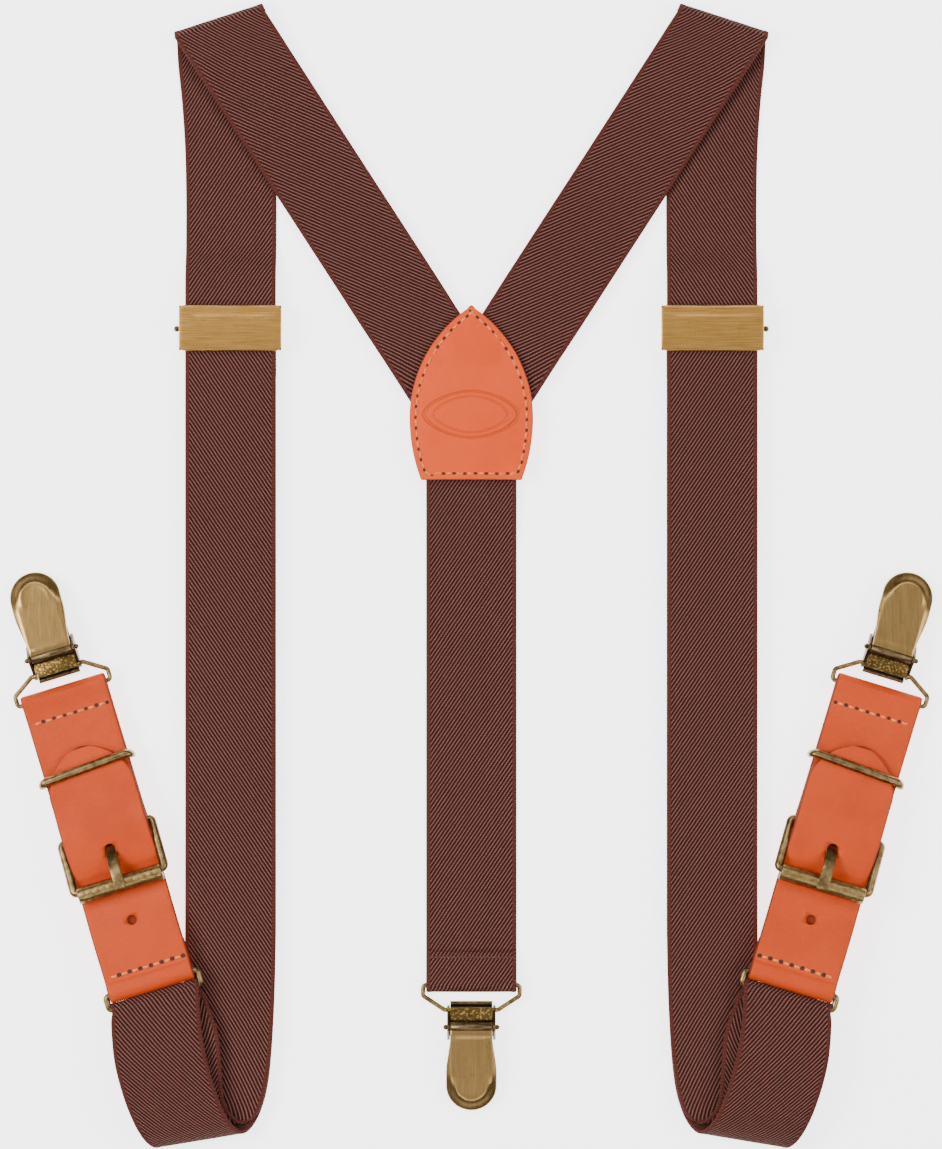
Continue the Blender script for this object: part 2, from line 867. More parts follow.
def plate(outline: Sequence[Point2], middle: Point2, top: Callable[[float, float], float], thick: float,
          round_off: float, skirt: float = 0.0, inner: int = 10, gather: float = 1.0) -> Skin:
    """Make a plate from its outline, with a rounded edge and a shaped top.

    Args:
        outline: The outline's points, counter-clockwise seen from above.
        middle: The point that every ring shrinks towards.
        top: The height of the top at a place.
        thick: The plate's thickness.
        round_off: The radius of the rounded top edge.
        skirt: The depth of an edge that is turned down, or 0.
        inner: Rings between the edge and the middle.
        gather: More than 1 puts the rings nearer to the edge.

    Returns:
        The plate's skin.
    """
    count = len(outline)

    def ring(inset: float, share: float, drop: float) -> list[Vector]:
        """One ring: radial inset, share of the way to the middle, and drop below the top."""
        loop = []
        for x, y in outline:
            away = Vector((x - middle[0], y - middle[1]))
            keep = (away.length - inset) / away.length * (1 - share)
            px, py = middle[0] + away.x * keep, middle[1] + away.y * keep
            loop.append(Vector((px, py, top(px, py) - drop)))
        return loop

    shares = [(k / inner) ** gather for k in range(1, inner)] + [0.985]
    edge = [(round_off * (1 - math.sin(a)), round_off * (1 - math.cos(a)))
            for a in (math.radians(d) for d in (90, 60, 35, 15, 0))]
    loops, rims = [], []
    low = thick + skirt
    if skirt:
        under = [(thick, s, thick) for s in reversed(shares)] + [(thick, 0, thick), (thick, 0, low)]
    else:
        under = [(round_off, s, thick) for s in reversed(shares)] + [(round_off * 0.6, 0, thick)]
    for inset, share, drop in under:
        loops.append(ring(inset, share, drop))
        rims.append(0.0)
    loops.append(ring(0.0, 0.0, low - 0.15))
    rims.append(1.0)
    for drop_share in (0.66, 0.33):
        loops.append(ring(0.0, 0.0, round_off + (low - 0.15 - round_off) * drop_share))
        rims.append(1.0)
    for inset, drop in edge:
        loops.append(ring(inset, 0.0, drop))
        rims.append(1.0 - inset / round_off * 0.75)
    for share in shares:
        loops.append(ring(round_off, share, 0.0))
        rims.append(0.0)
    skin = Skin()
    flat = [[(point.x, point.y) for point in loop] for loop in loops]
    skin.loft(loops, lambda i, j: flat[i][j], lambda i, j: rims[i])
    return skin


def prism(profile: Sequence[Point2], width: float, x: float = 0.0) -> Skin:
    """Draw a Y-Z profile out along X.

    Args:
        profile: The profile, counter-clockwise seen from plus X.
        width: The width along X.
        x: The middle along X.

    Returns:
        The prism's skin.
    """
    loops = [[Vector((x + s * width / 2, y, z)) for y, z in profile] for s in (-1, 1)]
    skin = Skin()
    skin.loft(loops, lambda i, j: (float(i) * width, float(j)))
    return skin


def half_turn(y: float, z: float, reach: float, high: float, step: int) -> list[Point2]:
    """Points of a half turn round a bar in side view.

    Args:
        y: The bar's place along.
        z: Its height.
        reach: The turn's size along, minus for a turn towards minus Y.
        high: The turn's height at its start, minus for a turn that starts underneath.
        step: Degrees between points.

    Returns:
        The turn's points.
    """
    return [(y + reach * math.sin(math.radians(a)), z + high * math.cos(math.radians(a)))
            for a in range(0, 181, step)]


def arc(centre: Point2, radius: float, start: float, end: float, steps: int) -> list[Point2]:
    """Points on an arc, both ends included, with angles in degrees."""
    return [(centre[0] + radius * math.cos(math.radians(start + (end - start) * k / steps)),
             centre[1] + radius * math.sin(math.radians(start + (end - start) * k / steps)))
            for k in range(steps + 1)]


def blend_steps(a: float, b: float, t: float) -> float:
    """A smooth step from 0 to 1 as t goes from a to b."""
    share = max(0.0, min(1.0, (t - a) / (b - a)))
    return share * share * (3 - 2 * share)


# ---------------------------------------------------------------------------
# Stitches
# ---------------------------------------------------------------------------

@dataclass(frozen=True)
class Seam:
    """A sewing machine set to one stitch, which runs along routes."""

    pitch: float = 3.0
    stitch: float = 2.05
    thread: float = 0.31
    crown: float = 0.34
    seed: int = 7

    INPUTS = (("Route", "NodeSocketGeometry"), ("Pitch", "NodeSocketFloat"), ("Stitch", "NodeSocketFloat"),
              ("Thread Radius", "NodeSocketFloat"), ("Crown", "NodeSocketFloat"),
              ("Seed", "NodeSocketInt"), ("Thread", "NodeSocketMaterial"), ("Pit", "NodeSocketMaterial"))

    def tree(self) -> bpy.types.NodeTree:
        """Return the stitch tree, built once.

        Returns:
            A tree that puts a thread and an awl hole at every pitch of a curve.
        """
        ready = bpy.data.node_groups.get("Stitches")
        if ready:
            return ready
        tree = bpy.data.node_groups.new("Stitches", "GeometryNodeTree")
        for name, kind in self.INPUTS:
            tree.interface.new_socket(name, in_out="INPUT", socket_type=kind)
        tree.interface.new_socket("Stitches", in_out="OUTPUT", socket_type="NodeSocketGeometry")

        def add(kind: str, settings: dict, inputs: dict) -> bpy.types.Node:
            """Add a node with its settings, links and values."""
            made = tree.nodes.new(kind)
            for key, value in settings.items():
                setattr(made, key, value)
            for key, value in inputs.items():
                if isinstance(value, bpy.types.NodeSocket):
                    tree.links.new(value, made.inputs[key])
                else:
                    made.inputs[key].default_value = value
            return made

        given = tree.nodes.new("NodeGroupInput").outputs
        half = add("ShaderNodeMath", {"operation": "MULTIPLY"}, {0: given["Stitch"], 1: 0.5}).outputs[0]
        back = add("ShaderNodeMath", {"operation": "MULTIPLY"}, {0: half, 1: -1.0}).outputs[0]
        sunk = add("ShaderNodeMath", {"operation": "MULTIPLY"},
                   {0: given["Thread Radius"], 1: -0.9}).outputs[0]
        high = add("ShaderNodeMath", {"operation": "MULTIPLY"}, {0: given["Crown"], 1: 2.2}).outputs[0]
        start = add("ShaderNodeCombineXYZ", {}, {"X": back, "Z": sunk}).outputs[0]
        crest = add("ShaderNodeCombineXYZ", {}, {"Z": high}).outputs[0]
        end = add("ShaderNodeCombineXYZ", {}, {"X": half, "Z": sunk}).outputs[0]
        bow = add("GeometryNodeCurveQuadraticBezier", {}, {"Resolution": 6, "Start": start,
                                                           "Middle": crest, "End": end})
        round_ = add("GeometryNodeCurvePrimitiveCircle", {"mode": "RADIUS"},
                     {"Resolution": 8, "Radius": given["Thread Radius"]})
        thread = add("GeometryNodeCurveToMesh", {}, {"Curve": bow.outputs[0],
                                                     "Profile Curve": round_.outputs["Curve"],
                                                     "Fill Caps": True})
        smooth = add("GeometryNodeSetShadeSmooth", {}, {"Geometry": thread.outputs[0]})
        sewn = add("GeometryNodeSetMaterial", {},
                   {"Geometry": smooth.outputs[0], "Material": given["Thread"]})
        bead = add("GeometryNodeMeshUVSphere", {}, {"Segments": 10, "Rings": 5,
                                                    "Radius": given["Thread Radius"]})
        dish = add("GeometryNodeTransform", {}, {"Geometry": bead.outputs["Mesh"], "Scale": (1.9, 1.7, 0.3)})
        pit = add("GeometryNodeSetMaterial", {}, {"Geometry": dish.outputs[0], "Material": given["Pit"]})
        points = add("GeometryNodeResampleCurve", {"mode": "LENGTH"}, {"Curve": given["Route"],
                                                                       "Length": given["Pitch"]})
        tangent = add("GeometryNodeInputTangent", {}, {})
        sway = add("FunctionNodeRandomValue", {"data_type": "FLOAT_VECTOR"},
                   {"Min": (-0.06, -0.05, 0.0), "Max": (0.06, 0.05, 0.0), "Seed": given["Seed"]})
        way = add("ShaderNodeVectorMath", {"operation": "ADD"}, {0: tangent.outputs[0], 1: sway.outputs[0]})
        turn = add("FunctionNodeAlignRotationToVector", {"axis": "X", "pivot_axis": "Z"},
                   {"Vector": way.outputs[0]})
        threads = add("GeometryNodeInstanceOnPoints", {}, {"Points": points.outputs[0],
                                                           "Instance": sewn.outputs[0],
                                                           "Rotation": turn.outputs[0]})
        pits = add("GeometryNodeInstanceOnPoints", {}, {"Points": points.outputs[0],
                                                        "Instance": pit.outputs[0],
                                                        "Rotation": turn.outputs[0]})
        step = add("ShaderNodeMath", {"operation": "MULTIPLY"}, {0: given["Pitch"], 1: 0.5}).outputs[0]
        shift = add("ShaderNodeCombineXYZ", {}, {"X": step}).outputs[0]
        moved = add("GeometryNodeTranslateInstances", {}, {"Instances": pits.outputs[0],
                                                           "Translation": shift, "Local Space": True})
        both = tree.nodes.new("GeometryNodeJoinGeometry")
        for part in (threads, moved):
            tree.links.new(part.outputs[0], both.inputs[0])
        real = add("GeometryNodeRealizeInstances", {}, {"Geometry": both.outputs[0]})
        tree.links.new(real.outputs[0], tree.nodes.new("NodeGroupOutput").inputs[0])
        return tree

    def sew(self, name: str, route: Sequence[Vector], side: Side, coat: Coat) -> bpy.types.Mesh:
        """Sew along a route.

        Args:
            name: The row's name.
            route: The row's route, in millimetres, on the left side.
            side: The side to sew.
            coat: The thread's finish.

        Returns:
            The stitches' mesh.
        """
        curve = bpy.data.curves.new(name, "CURVE")
        curve.dimensions = "3D"
        line = curve.splines.new("POLY")
        line.points.add(len(route) - 1)
        for spot, point in zip(line.points, route):
            spot.co = (side.sign * point.x * METRES, point.y * METRES, point.z * METRES, 1.0)
        row = bpy.data.objects.new(name, curve)
        bpy.context.scene.collection.objects.link(row)
        machine = row.modifiers.new("Stitches", "NODES")
        machine.node_group = self.tree()
        values = {"Pitch": self.pitch * METRES, "Stitch": self.stitch * METRES,
                  "Thread Radius": self.thread * METRES, "Crown": self.crown * METRES,
                  "Seed": self.seed, "Thread": coat.material(), "Pit": Coat.PIT.material()}
        for item in machine.node_group.interface.items_tree:
            if item.in_out == "INPUT" and item.name in values:
                machine[item.identifier] = values[item.name]
        return baked(row)


# ---------------------------------------------------------------------------
# Webbing
# ---------------------------------------------------------------------------

def unit2(angle: float) -> Vector:
    """The direction at an angle in degrees, on the table."""
    return Vector((math.cos(math.radians(angle)), math.sin(math.radians(angle)), 0.0))


Station = tuple[Vector, Vector]


def filled(stations: Sequence[Station], steps: int) -> list[Station]:
    """Fill in a strap's stations with smooth steps.

    Args:
        stations: Middles with half-width vectors.
        steps: Steps between each two.

    Returns:
        The finer stations.
    """
    last = len(stations) - 1
    fine = []
    for i in range(last):
        a, b, c, d = (stations[max(i - 1, 0)], stations[i], stations[i + 1], stations[min(i + 2, last)])
        for k in range(steps):
            t = k / steps
            fine.append(tuple(0.5 * (2 * b[n] + (c[n] - a[n]) * t
                                     + (2 * a[n] - 5 * b[n] + 4 * c[n] - d[n]) * t * t
                                     + (3 * b[n] - a[n] - 3 * c[n] + d[n]) * t ** 3) for n in (0, 1)))
    return fine + [stations[last]]


@dataclass
class Webbing:
    """Flat elastic webbing that follows stations."""

    width: float = 25.4
    thick: float = 1.2
    half_section: tuple[tuple[float, float], ...] = (
        (0.992, 0.30), (0.972, 0.47), (0.94, 0.50), (0.895, 0.47), (0.86, 0.42), (0.60, 0.44),
        (0.30, 0.45), (0.0, 0.45))

    def section(self) -> list[tuple[float, float]]:
        """The cross-section: shares of the half width and of the thickness, counter-clockwise."""
        right = list(self.half_section)
        top = right + [(-a, b) for a, b in reversed(right[:-1])]
        return [(1.0, 0.0)] + top + [(-1.0, 0.0)] + [(a, -b) for a, b in reversed(top)]

    def skin(self, stations: Sequence[Station], flip_from: float = math.inf) -> tuple[Skin, float]:
        """Weave the webbing along its stations.

        Args:
            stations: Middles with half-width vectors.
            flip_from: The number of the first station whose twill leans the other way.

        Returns:
            The skin, and the webbing's length.
        """
        section = self.section()
        loops, runs = [], [0.0]
        last = len(stations) - 1
        for i, (middle, half) in enumerate(stations):
            way = stations[min(i + 1, last)][0] - stations[max(i - 1, 0)][0]
            up = half.cross(way).normalized() * self.thick
            loops.append([middle + a * half + b * up for a, b in section])
            if i < last:
                runs.append(runs[-1] + (stations[i + 1][0] - middle).length)
        skin = Skin()
        skin.loft(loops, lambda i, j: ((section[j][0] + 1) / 2 * self.width, runs[min(i, last)]),
                  uv_flip=lambda i: self.width if i >= flip_from else None)
        return skin, runs[-1]


@dataclass
class FrontStrap:
    """One front strap: from the patch over the shoulder, through the adjuster and round the ring."""

    side: Side
    webbing: Webbing = field(default_factory=Webbing)
    strap_x: float = 67.4
    diag_a: float = 32.9
    diag_c: float = 3.05
    fold_r: float = 2.0
    fold_lean: float = 2.8
    lean_a: float = 3.1
    ring_out: float = 21.25
    ring_drop: float = 166.6
    ring_z: float = 9.5
    adj_y: float = 18.1
    diag_z: float = 3.5
    front_z: float = 4.65
    return_z: float = 3.25
    bar_down: float = -2.65
    wrap_mid: float = 1.65
    soft_wrap: float = 1.88
    turn: float = 17.0
    slope: float = 2.4
    rod_z: float = 2.0
    rod_mid: float = 1.35
    end_len: float = 14.0
    steps: int = 7

    @property
    def half(self) -> float:
        """Half the webbing's width."""
        return self.webbing.width / 2

    def across(self, azimuth: float, half: float, rise: float = 0.0) -> Vector:
        """A half-width vector from its direction, length and rise."""
        flat = unit2(azimuth) * half * math.cos(math.radians(rise))
        return flat + Vector((0, 0, half * math.sin(math.radians(rise))))

    def shoulder(self) -> list[Station]:
        """Stations from the patch up over the shoulder and down the front."""
        along, beside = unit2(90 + self.diag_a), unit2(self.diag_a)
        base = -self.diag_c * beside
        fold_s = (self.strap_x + self.fold_lean - self.diag_c * math.cos(math.radians(self.diag_a))) \
            / math.sin(math.radians(self.diag_a))
        fold_az = (self.diag_a + self.lean_a) / 2
        fold_half = self.half / math.cos(math.radians(fold_az - self.lean_a))
        fold_mid = base + fold_s * along
        fold_out = unit2(90 + fold_az)
        thick, flat = self.webbing.thick, self.webbing.thick / 2

        def diag(s: float, z: float, azimuth: float, half: float) -> Station:
            """A station on the diagonal."""
            return base + s * along + Vector((0, 0, z)), self.across(azimuth, half)

        def down(x: float, y: float, z: float, azimuth: float, half: float) -> Station:
            """A station on the front strap."""
            return Vector((-x, y, z)), self.across(azimuth, half)

        fold = [(fold_mid + self.fold_r * math.sin(a) * fold_out
                 + Vector((0, 0, flat + self.fold_r + self.fold_r * math.cos(a))),
                 self.across(fold_az, fold_half)) for a in (math.radians(30 * k) for k in range(7))]
        top = fold_mid.y
        return [
            (Vector((-4.0, 0.6, self.diag_z)), self.across(79.6, 18.6)),
            diag(18, self.diag_z, 40, self.half),
            diag(32, self.diag_z, self.diag_a, self.half),
            diag(45, self.diag_z, self.diag_a, self.half),
            diag(58, self.diag_z - 0.7, self.diag_a, self.half),
            diag(72, 2 * thick, self.diag_a, self.half),
            diag(90, 2.2 * thick, self.diag_a, self.half),
            diag(fold_s - 16, 3 * thick, self.diag_a - 2, self.half),
            diag(fold_s - 7, flat + 2 * self.fold_r - 0.3, fold_az + 4, fold_half - 0.2),
            *fold,
            down(self.strap_x + 2.3, top - 8, flat, fold_az - 5, fold_half - 0.2),
            down(self.strap_x + 1.2, top - 20, flat, self.lean_a + 2, self.half),
            down(self.strap_x + 0.3, top - 34, flat, 1, self.half),
            down(self.strap_x, top - 48, flat, 0, self.half),
            down(self.strap_x, self.adj_y + 28, flat, 0, self.half),
            down(self.strap_x, self.adj_y + 22, flat + 0.6, 0, self.half),
            down(self.strap_x, self.adj_y + 15, self.front_z - 0.6, 0, self.half),
            down(self.strap_x, self.adj_y + 9, self.front_z, 0, self.half),
            down(self.strap_x, self.adj_y, self.front_z, 0, self.half),
            down(self.strap_x, self.adj_y - 20, self.front_z, 0, self.half),
            down(self.strap_x, (self.adj_y - self.ring_drop) / 2, self.front_z, 0, self.half),
        ]

    def loop_at(self, low: float, high: float, x: float, y: float, share: float, azimuth: float,
                rise: float = 0.0) -> Station:
        """A station of the bottom loop, from the ring: its place, share of the rise and direction."""
        spot = Vector((x - self.strap_x - self.ring_out, y - self.ring_drop, low + (high - low) * share))
        return spot, self.across(azimuth, self.half, rise)

    def loop(self) -> list[Station]:
        """Stations down into the loop, round the ring and back under the front ply."""
        inner = [(21.25, 26, 0, 0), (21.0, 1, 0, 0), (20.0, -17, 0, -2), (18.1, -29.4, 0.02, -3),
                 (15.8, -35.6, 0.15, 0), (12.6, -38.6, 0.5, 6), (9.2, -36.6, 0.87, 7.4),
                 (7.0, -31.7, 1.03, 5), (6.3, -23, 1.1, 6), (5.6, -14.7, 1.1, 9.2), (3.2, -7.6, 1.03, 15.4)]
        outer = [(0.7, -6.9, 1, 14), (1.6, -16.6, 1.02, 12.7), (3.8, -25.9, 1.01, 9.2),
                 (6.5, -33.8, 0.95, 7.4, 1), (9.4, -39.2, 0.81, 8.6, 2), (12.4, -41.8, 0.5, 9.6, 2),
                 (15.2, -40.3, 0.2, 9.9, 1.4), (17.4, -35.6, 0.03, 8.4), (19.1, -27.2, 0, 3.4),
                 (20.2, -15.2, 0, 1), (20.9, 0.6, 0, 0), (21.25, 16, 0, 0)]
        place = tab_place(self.turn, self.slope, self.strap_x + self.ring_out, self.ring_drop, self.ring_z)
        half = self.across(self.turn, self.half)
        low_in, high_in = self.front_z, self.ring_z - self.wrap_mid
        low_out, high_out = self.return_z, self.ring_z + self.wrap_mid
        ring = []
        for angle in (math.radians(-90 + 30 * k) for k in range(7)):
            spot = place @ Vector((0, self.bar_down + self.soft_wrap * math.cos(angle), 0))
            ring.append((spot + Vector((0, 0, self.wrap_mid * math.sin(angle))), half))
        return ([self.loop_at(low_in, high_in, *spot) for spot in inner] + ring
                + [self.loop_at(low_out, high_out, *spot) for spot in outer])

    def build(self) -> None:
        """Build the strap, its straight back ply and its sewn end."""
        word = self.side.word
        shoulder = self.shoulder()
        adjuster = (len(shoulder) - 3) * self.steps
        skin, length = self.webbing.skin(filled(shoulder + self.loop(), self.steps), adjuster)
        strap = place_piece(f"{word} strap webbing", skin.mesh("Strap", self.side), "root", Coat.WEBBING,
                            f"{word}_strap_main")
        length * METRES
        self.build_return(word)
        self.build_end(word)

    def build_return(self, word: str) -> None:
        """Build the back ply, which gets shorter as the adjuster slides down.

        Args:
            word: The side's name.
        """
        low = 16.05 - self.ring_drop
        high = self.adj_y - self.end_len - 0.3
        across = self.across(0, self.half)
        stations = [(Vector((-self.strap_x, low + (high - low) * k / 24, self.return_z)), across)
                    for k in range(25)]
        skin, length = self.webbing.skin(stations)
        ply = place_piece(f"{word} back ply webbing", skin.mesh("Ply", self.side), "root", Coat.WEBBING,
                          f"{word}_strap_return")
        length * METRES
        joint = next(j for j in frame["joints"] if j["name"] == f"{word}_adjuster_slide")
        travel = joint["range_m"][1] / METRES
        (length - travel) / length
        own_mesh(ply)

    def build_end(self, word: str) -> None:
        """Build the strap's end, folded round the adjuster's rod and sewn.

        Args:
            word: The side's name.
        """
        across = self.across(0, self.half)
        thick = self.webbing.thick
        y = self.adj_y
        spots = [(y - self.end_len, self.return_z), (y - 9, self.return_z), (y - 5, self.return_z - 0.05),
                 (y - 2.2, self.rod_z + self.rod_mid * 0.93)]
        spots += half_turn(y, self.rod_z, self.rod_mid, self.rod_mid, 30)
        spots += [(y - 2.2, self.rod_z - self.rod_mid * 0.9), (y - 5, self.return_z - thick - 0.06),
                  (y - 9, self.return_z - thick - 0.03), (y - self.end_len, self.return_z - thick - 0.02)]
        stations = filled([(Vector((-self.strap_x, a, b)), across) for a, b in spots], 3)
        skin, length = self.webbing.skin(stations)
        end = place_piece(f"{word} sewn end webbing", skin.mesh("End", self.side), f"{word}_adjuster",
                          Coat.WEBBING, f"{word}_strap_end")
        length * METRES


@dataclass
class BackStrap:
    """The single strap down the back, folded round its clip's loop and hemmed."""

    webbing: Webbing = field(default_factory=Webbing)
    back_y: float = 165.9
    bar_z: float = 2.4
    bar_wrap: float = 1.42
    patch_hl: float = 24.3
    ply_z: float = 2.25
    hem_y: float = -156.6
    stitch_y: float = -158.1

    def build(self) -> None:
        """Build the webbing and its hem stitches."""
        flat, thick = self.webbing.thick / 2, self.webbing.thick
        across = Vector((self.webbing.width / 2, 0, 0))
        spots = [(-1.6, self.ply_z), (-self.patch_hl - 3, self.ply_z), (-self.patch_hl - 9, self.ply_z - 0.6),
                 (-self.patch_hl - 17, flat + 0.25), (-self.patch_hl - 24, flat)]
        spots += [(-60 - 10 * k, flat) for k in range(10)]
        spots += [(-self.back_y + 5, flat)]
        spots += half_turn(-self.back_y, self.bar_z, -self.bar_wrap, -self.bar_wrap, 30)
        spots += [(-self.back_y + 3.0, 2.7), (-self.back_y + 6, flat + thick + 0.12),
                  (self.hem_y, flat + thick)]
        stations = filled([(Vector((0, y, z)), across) for y, z in spots], 5)
        past_bar = -self.back_y - self.bar_wrap * 0.95
        fold = next(i for i, (middle, _) in enumerate(stations) if middle.y < past_bar)
        skin, length = self.webbing.skin(stations, fold)
        strap = place_piece("back strap webbing", skin.mesh("Back strap"), "root", Coat.WEBBING,
                            "back_webbing")
        length * METRES
        reach = self.webbing.width / 2 - 1.6
        route = [Vector((x, self.stitch_y, 2 * thick + 0.02)) for x in (-reach, reach)]
        seam = Seam(pitch=1.55, stitch=1.25, thread=0.2, crown=0.18)
        place_piece("hem stitches", seam.sew("Hem", route, Side.BACK, Coat.HEM_THREAD), "root",
                    Coat.HEM_THREAD, "back_hem_thread")


# ---------------------------------------------------------------------------
# Leather
# ---------------------------------------------------------------------------

def tab_place(turn: float, slope: float, out: float, drop: float, high: float) -> Matrix:
    """The tab's place: its turn and slope in degrees, and its ring's place."""
    return (Matrix.Translation((-out, -drop, high)) @ Matrix.Rotation(math.radians(turn), 4, "Z")
            @ Matrix.Rotation(math.radians(-slope), 4, "X"))


@dataclass
class JoiningPatch:
    """The pointed leather patch, front and lining, with its stitches."""

    half_width: float = 17.3
    foot: float = 14.1
    half_length: float = 24.3
    wide_y: float = -7.0
    top_z: float = 4.15
    thick: float = 1.6
    stitch_in: float = 1.8
    fine: int = 22

    def arcs(self, inset: float) -> tuple[Point2, float, Point2, float]:
        """The upper and lower right side arcs, drawn in by an inset: middles and radii."""
        up, down = self.half_length - self.wide_y, self.half_length + self.wide_y
        upper = (self.half_width ** 2 + up ** 2) / (2 * self.half_width)
        drop = self.half_width - self.foot
        lower = (drop ** 2 + down ** 2) / (2 * drop)
        return ((self.half_width - upper, self.wide_y), upper - inset,
                (self.half_width - lower, self.wide_y), lower - inset)

    def outline(self, inset: float = 0.0, corner: float = 0.5) -> list[Point2]:
        """The patch's outline, counter-clockwise from the bottom's middle.

        Args:
            inset: The distance in from the cut edge.
            corner: The radius of the lower corners.

        Returns:
            The outline's points.
        """
        mid_up, r_up, mid_low, r_low = self.arcs(inset)
        base = -self.half_length + inset
        low_end = math.degrees(math.asin((base + corner - self.wide_y) / r_low))
        side = arc(mid_low, r_low, low_end, 0, 12)[:-1]
        peak = math.degrees(math.acos(-mid_up[0] / r_up))
        side += arc(mid_up, r_up, 0, peak - 2.2, self.fine)
        foot_x = side[0][0]
        bottom = [(foot_x * k / 8 * (1 - corner / foot_x), base) for k in range(0, 9)]
        bend = arc((foot_x - corner, base + corner), corner, -90, 0, 5)[1:-1]
        right = bottom + bend + side
        tip_y = right[-1][1] + right[-1][0] * 0.9
        tip = [(right[-1][0] * 0.5, right[-1][1] + right[-1][0] * 0.68), (0.0, tip_y)]
        half = right + tip
        return half + [(-x, y) for x, y in reversed(half[1:-1])]

    def top(self, x: float, y: float) -> float:
        """The front's height: soft over the straps beneath, drawn in along the seam."""
        mid_up, r_up, mid_low, r_low = self.arcs(0.0)
        mid, radius = (mid_up, r_up) if y > self.wide_y else (mid_low, r_low)
        inside = min(radius - math.hypot(abs(x) - mid[0], y - mid[1]), y + self.half_length)
        seam = math.exp(-((inside - self.stitch_in) / 0.7) ** 2) * 0.16
        swell = 0.30 * blend_steps(2.0, 8.0, inside)
        crease = 0.16 * math.exp(-((abs(x) - 0.42 * (y + 10)) / 2.2) ** 2) * blend_steps(-4, 14, y)
        return self.top_z + self.thick + swell - seam - crease

    def build(self) -> None:
        """Build the front, the lining and the stitches."""
        middle = (0.0, -3.0)
        front = plate(self.outline(), middle, self.top, self.thick, 0.45, inner=16)
        place_piece("patch front", front.mesh("Patch front"), "root", Coat.PATCH, "patch_front")
        lining = plate(self.outline(), middle, lambda x, y: self.thick, self.thick, 0.35, inner=10)
        place_piece("patch lining", lining.mesh("Patch lining"), "root", Coat.LEATHER, "patch_back")
        loop = self.outline(self.stitch_in, 0.5)
        route = [Vector((x, y, self.top(x, y))) for x, y in loop]
        first = len(loop) // 2
        route = route[first:] + route[:first]
        seam = Seam(pitch=2.95, stitch=1.4, thread=0.32)
        place_piece("patch stitches", seam.sew("Patch seam", route, Side.BACK, Coat.THREAD),
                    "root", Coat.THREAD, "patch_thread")


@dataclass
class LeatherStrip:
    """A leather strip that follows a side-view route, with rounded, burnished edges."""

    width: float = 24.6
    thick: float = 1.6
    end_rim: float = 0.6

    def skin(self, route: Sequence[Point2], half_of: Callable[[float], float]) -> Skin:
        """Cut and fold the strip.

        Args:
            route: The strip's middle line in side view, from its hidden end.
            half_of: The half width at a distance from the far end.

        Returns:
            The strip's skin.
        """
        line = [Vector((0, y, z)) for y, z in route]
        runs = [0.0]
        for a, b in zip(line, line[1:]):
            runs.append(runs[-1] + (b - a).length)
        section = [(1.0, 0.0, 1.0), (0.992, 0.30, 1.0), (0.972, 0.44, 0.7), (0.94, 0.5, 0.25),
                   (0.86, 0.5, 0.0), (0.72, 0.485, 0.0), (0.5, 0.5, 0.0), (0.25, 0.5, 0.0)]
        mirrored = [(-a, b, r) for a, b, r in reversed(section[1:])]
        top = section + [(0.0, 0.5, 0.0)] + mirrored + [(-1.0, 0.0, 1.0)]
        around = top + [(a, -b, r) for a, b, r in reversed(top[1:-1])]
        last = len(line) - 1
        loops = []
        for i, point in enumerate(line):
            way = (line[min(i + 1, last)] - line[max(i - 1, 0)]).normalized()
            up = Vector((1, 0, 0)).cross(way) * self.thick
            half = half_of(runs[-1] - runs[i])
            soft = min(1.0, (runs[-1] - runs[i]) / 0.5 + 0.35)
            loops.append([point + Vector((a * half, 0, 0)) + b * soft * up for a, b, r in around])

        def spot(i: int, j: int) -> Point2:
            """The UV of a point: millimetres across and along."""
            run = runs[min(i, last)]
            return around[j][0] * half_of(runs[-1] - run), run

        def burnish(i: int, j: int) -> float:
            """The rim share of a point: its section's, or all of it at the far end."""
            left = runs[-1] - runs[min(i, last)]
            return max(around[j][2], 1.0 if left < self.end_rim else 0.0)

        skin = Skin()
        skin.loft(loops, spot, burnish)
        return skin


def eased(route: Sequence[Point2], steps: int) -> list[Point2]:
    """Fill in a side-view route smoothly."""
    stations = [(Vector((0, y, z)), Vector()) for y, z in route]
    return [(middle.y, middle.z) for middle, _ in filled(stations, steps)]


@dataclass
class SideGroup:
    """A group of pieces on one side, drawn in its own frame."""

    side: Side

    def place(self) -> Matrix:
        """The group's frame on the left side."""
        return Matrix()

    def put(self, name: str, skin: Skin, body: str, coat: Coat, *nodes: str) -> None:
        """Turn a piece into place and put it on its body.

        Args:
            name: The piece's name without its side.
            skin: The piece in the group's own frame.
            body: The body's name without its side.
            coat: The finish.
            nodes: The CAD nodes' names without their side.
        """
        word = self.side.word
        data = skin.turned(self.place()).mesh(name, self.side)
        place_piece(f"{word} {name}", data, f"{word}_{body}", coat, *[f"{word}_{n}" for n in nodes])

    def refine(self, name: str, node: str, body: str, coat: Coat, width: float, segments: int = 2) -> None:
        """Show a CAD node with its edges rounded.

        Args:
            name: The piece's name without its side.
            node: The CAD node's name without its side.
            body: The body's name without its side.
            coat: The finish.
            width: The rounding's width.
            segments: The rounding's steps.
        """
        word = self.side.word
        place_piece(f"{word} {name}", softened(f"{word}_{node}", width, segments), f"{word}_{body}", coat,
                    f"{word}_{node}")


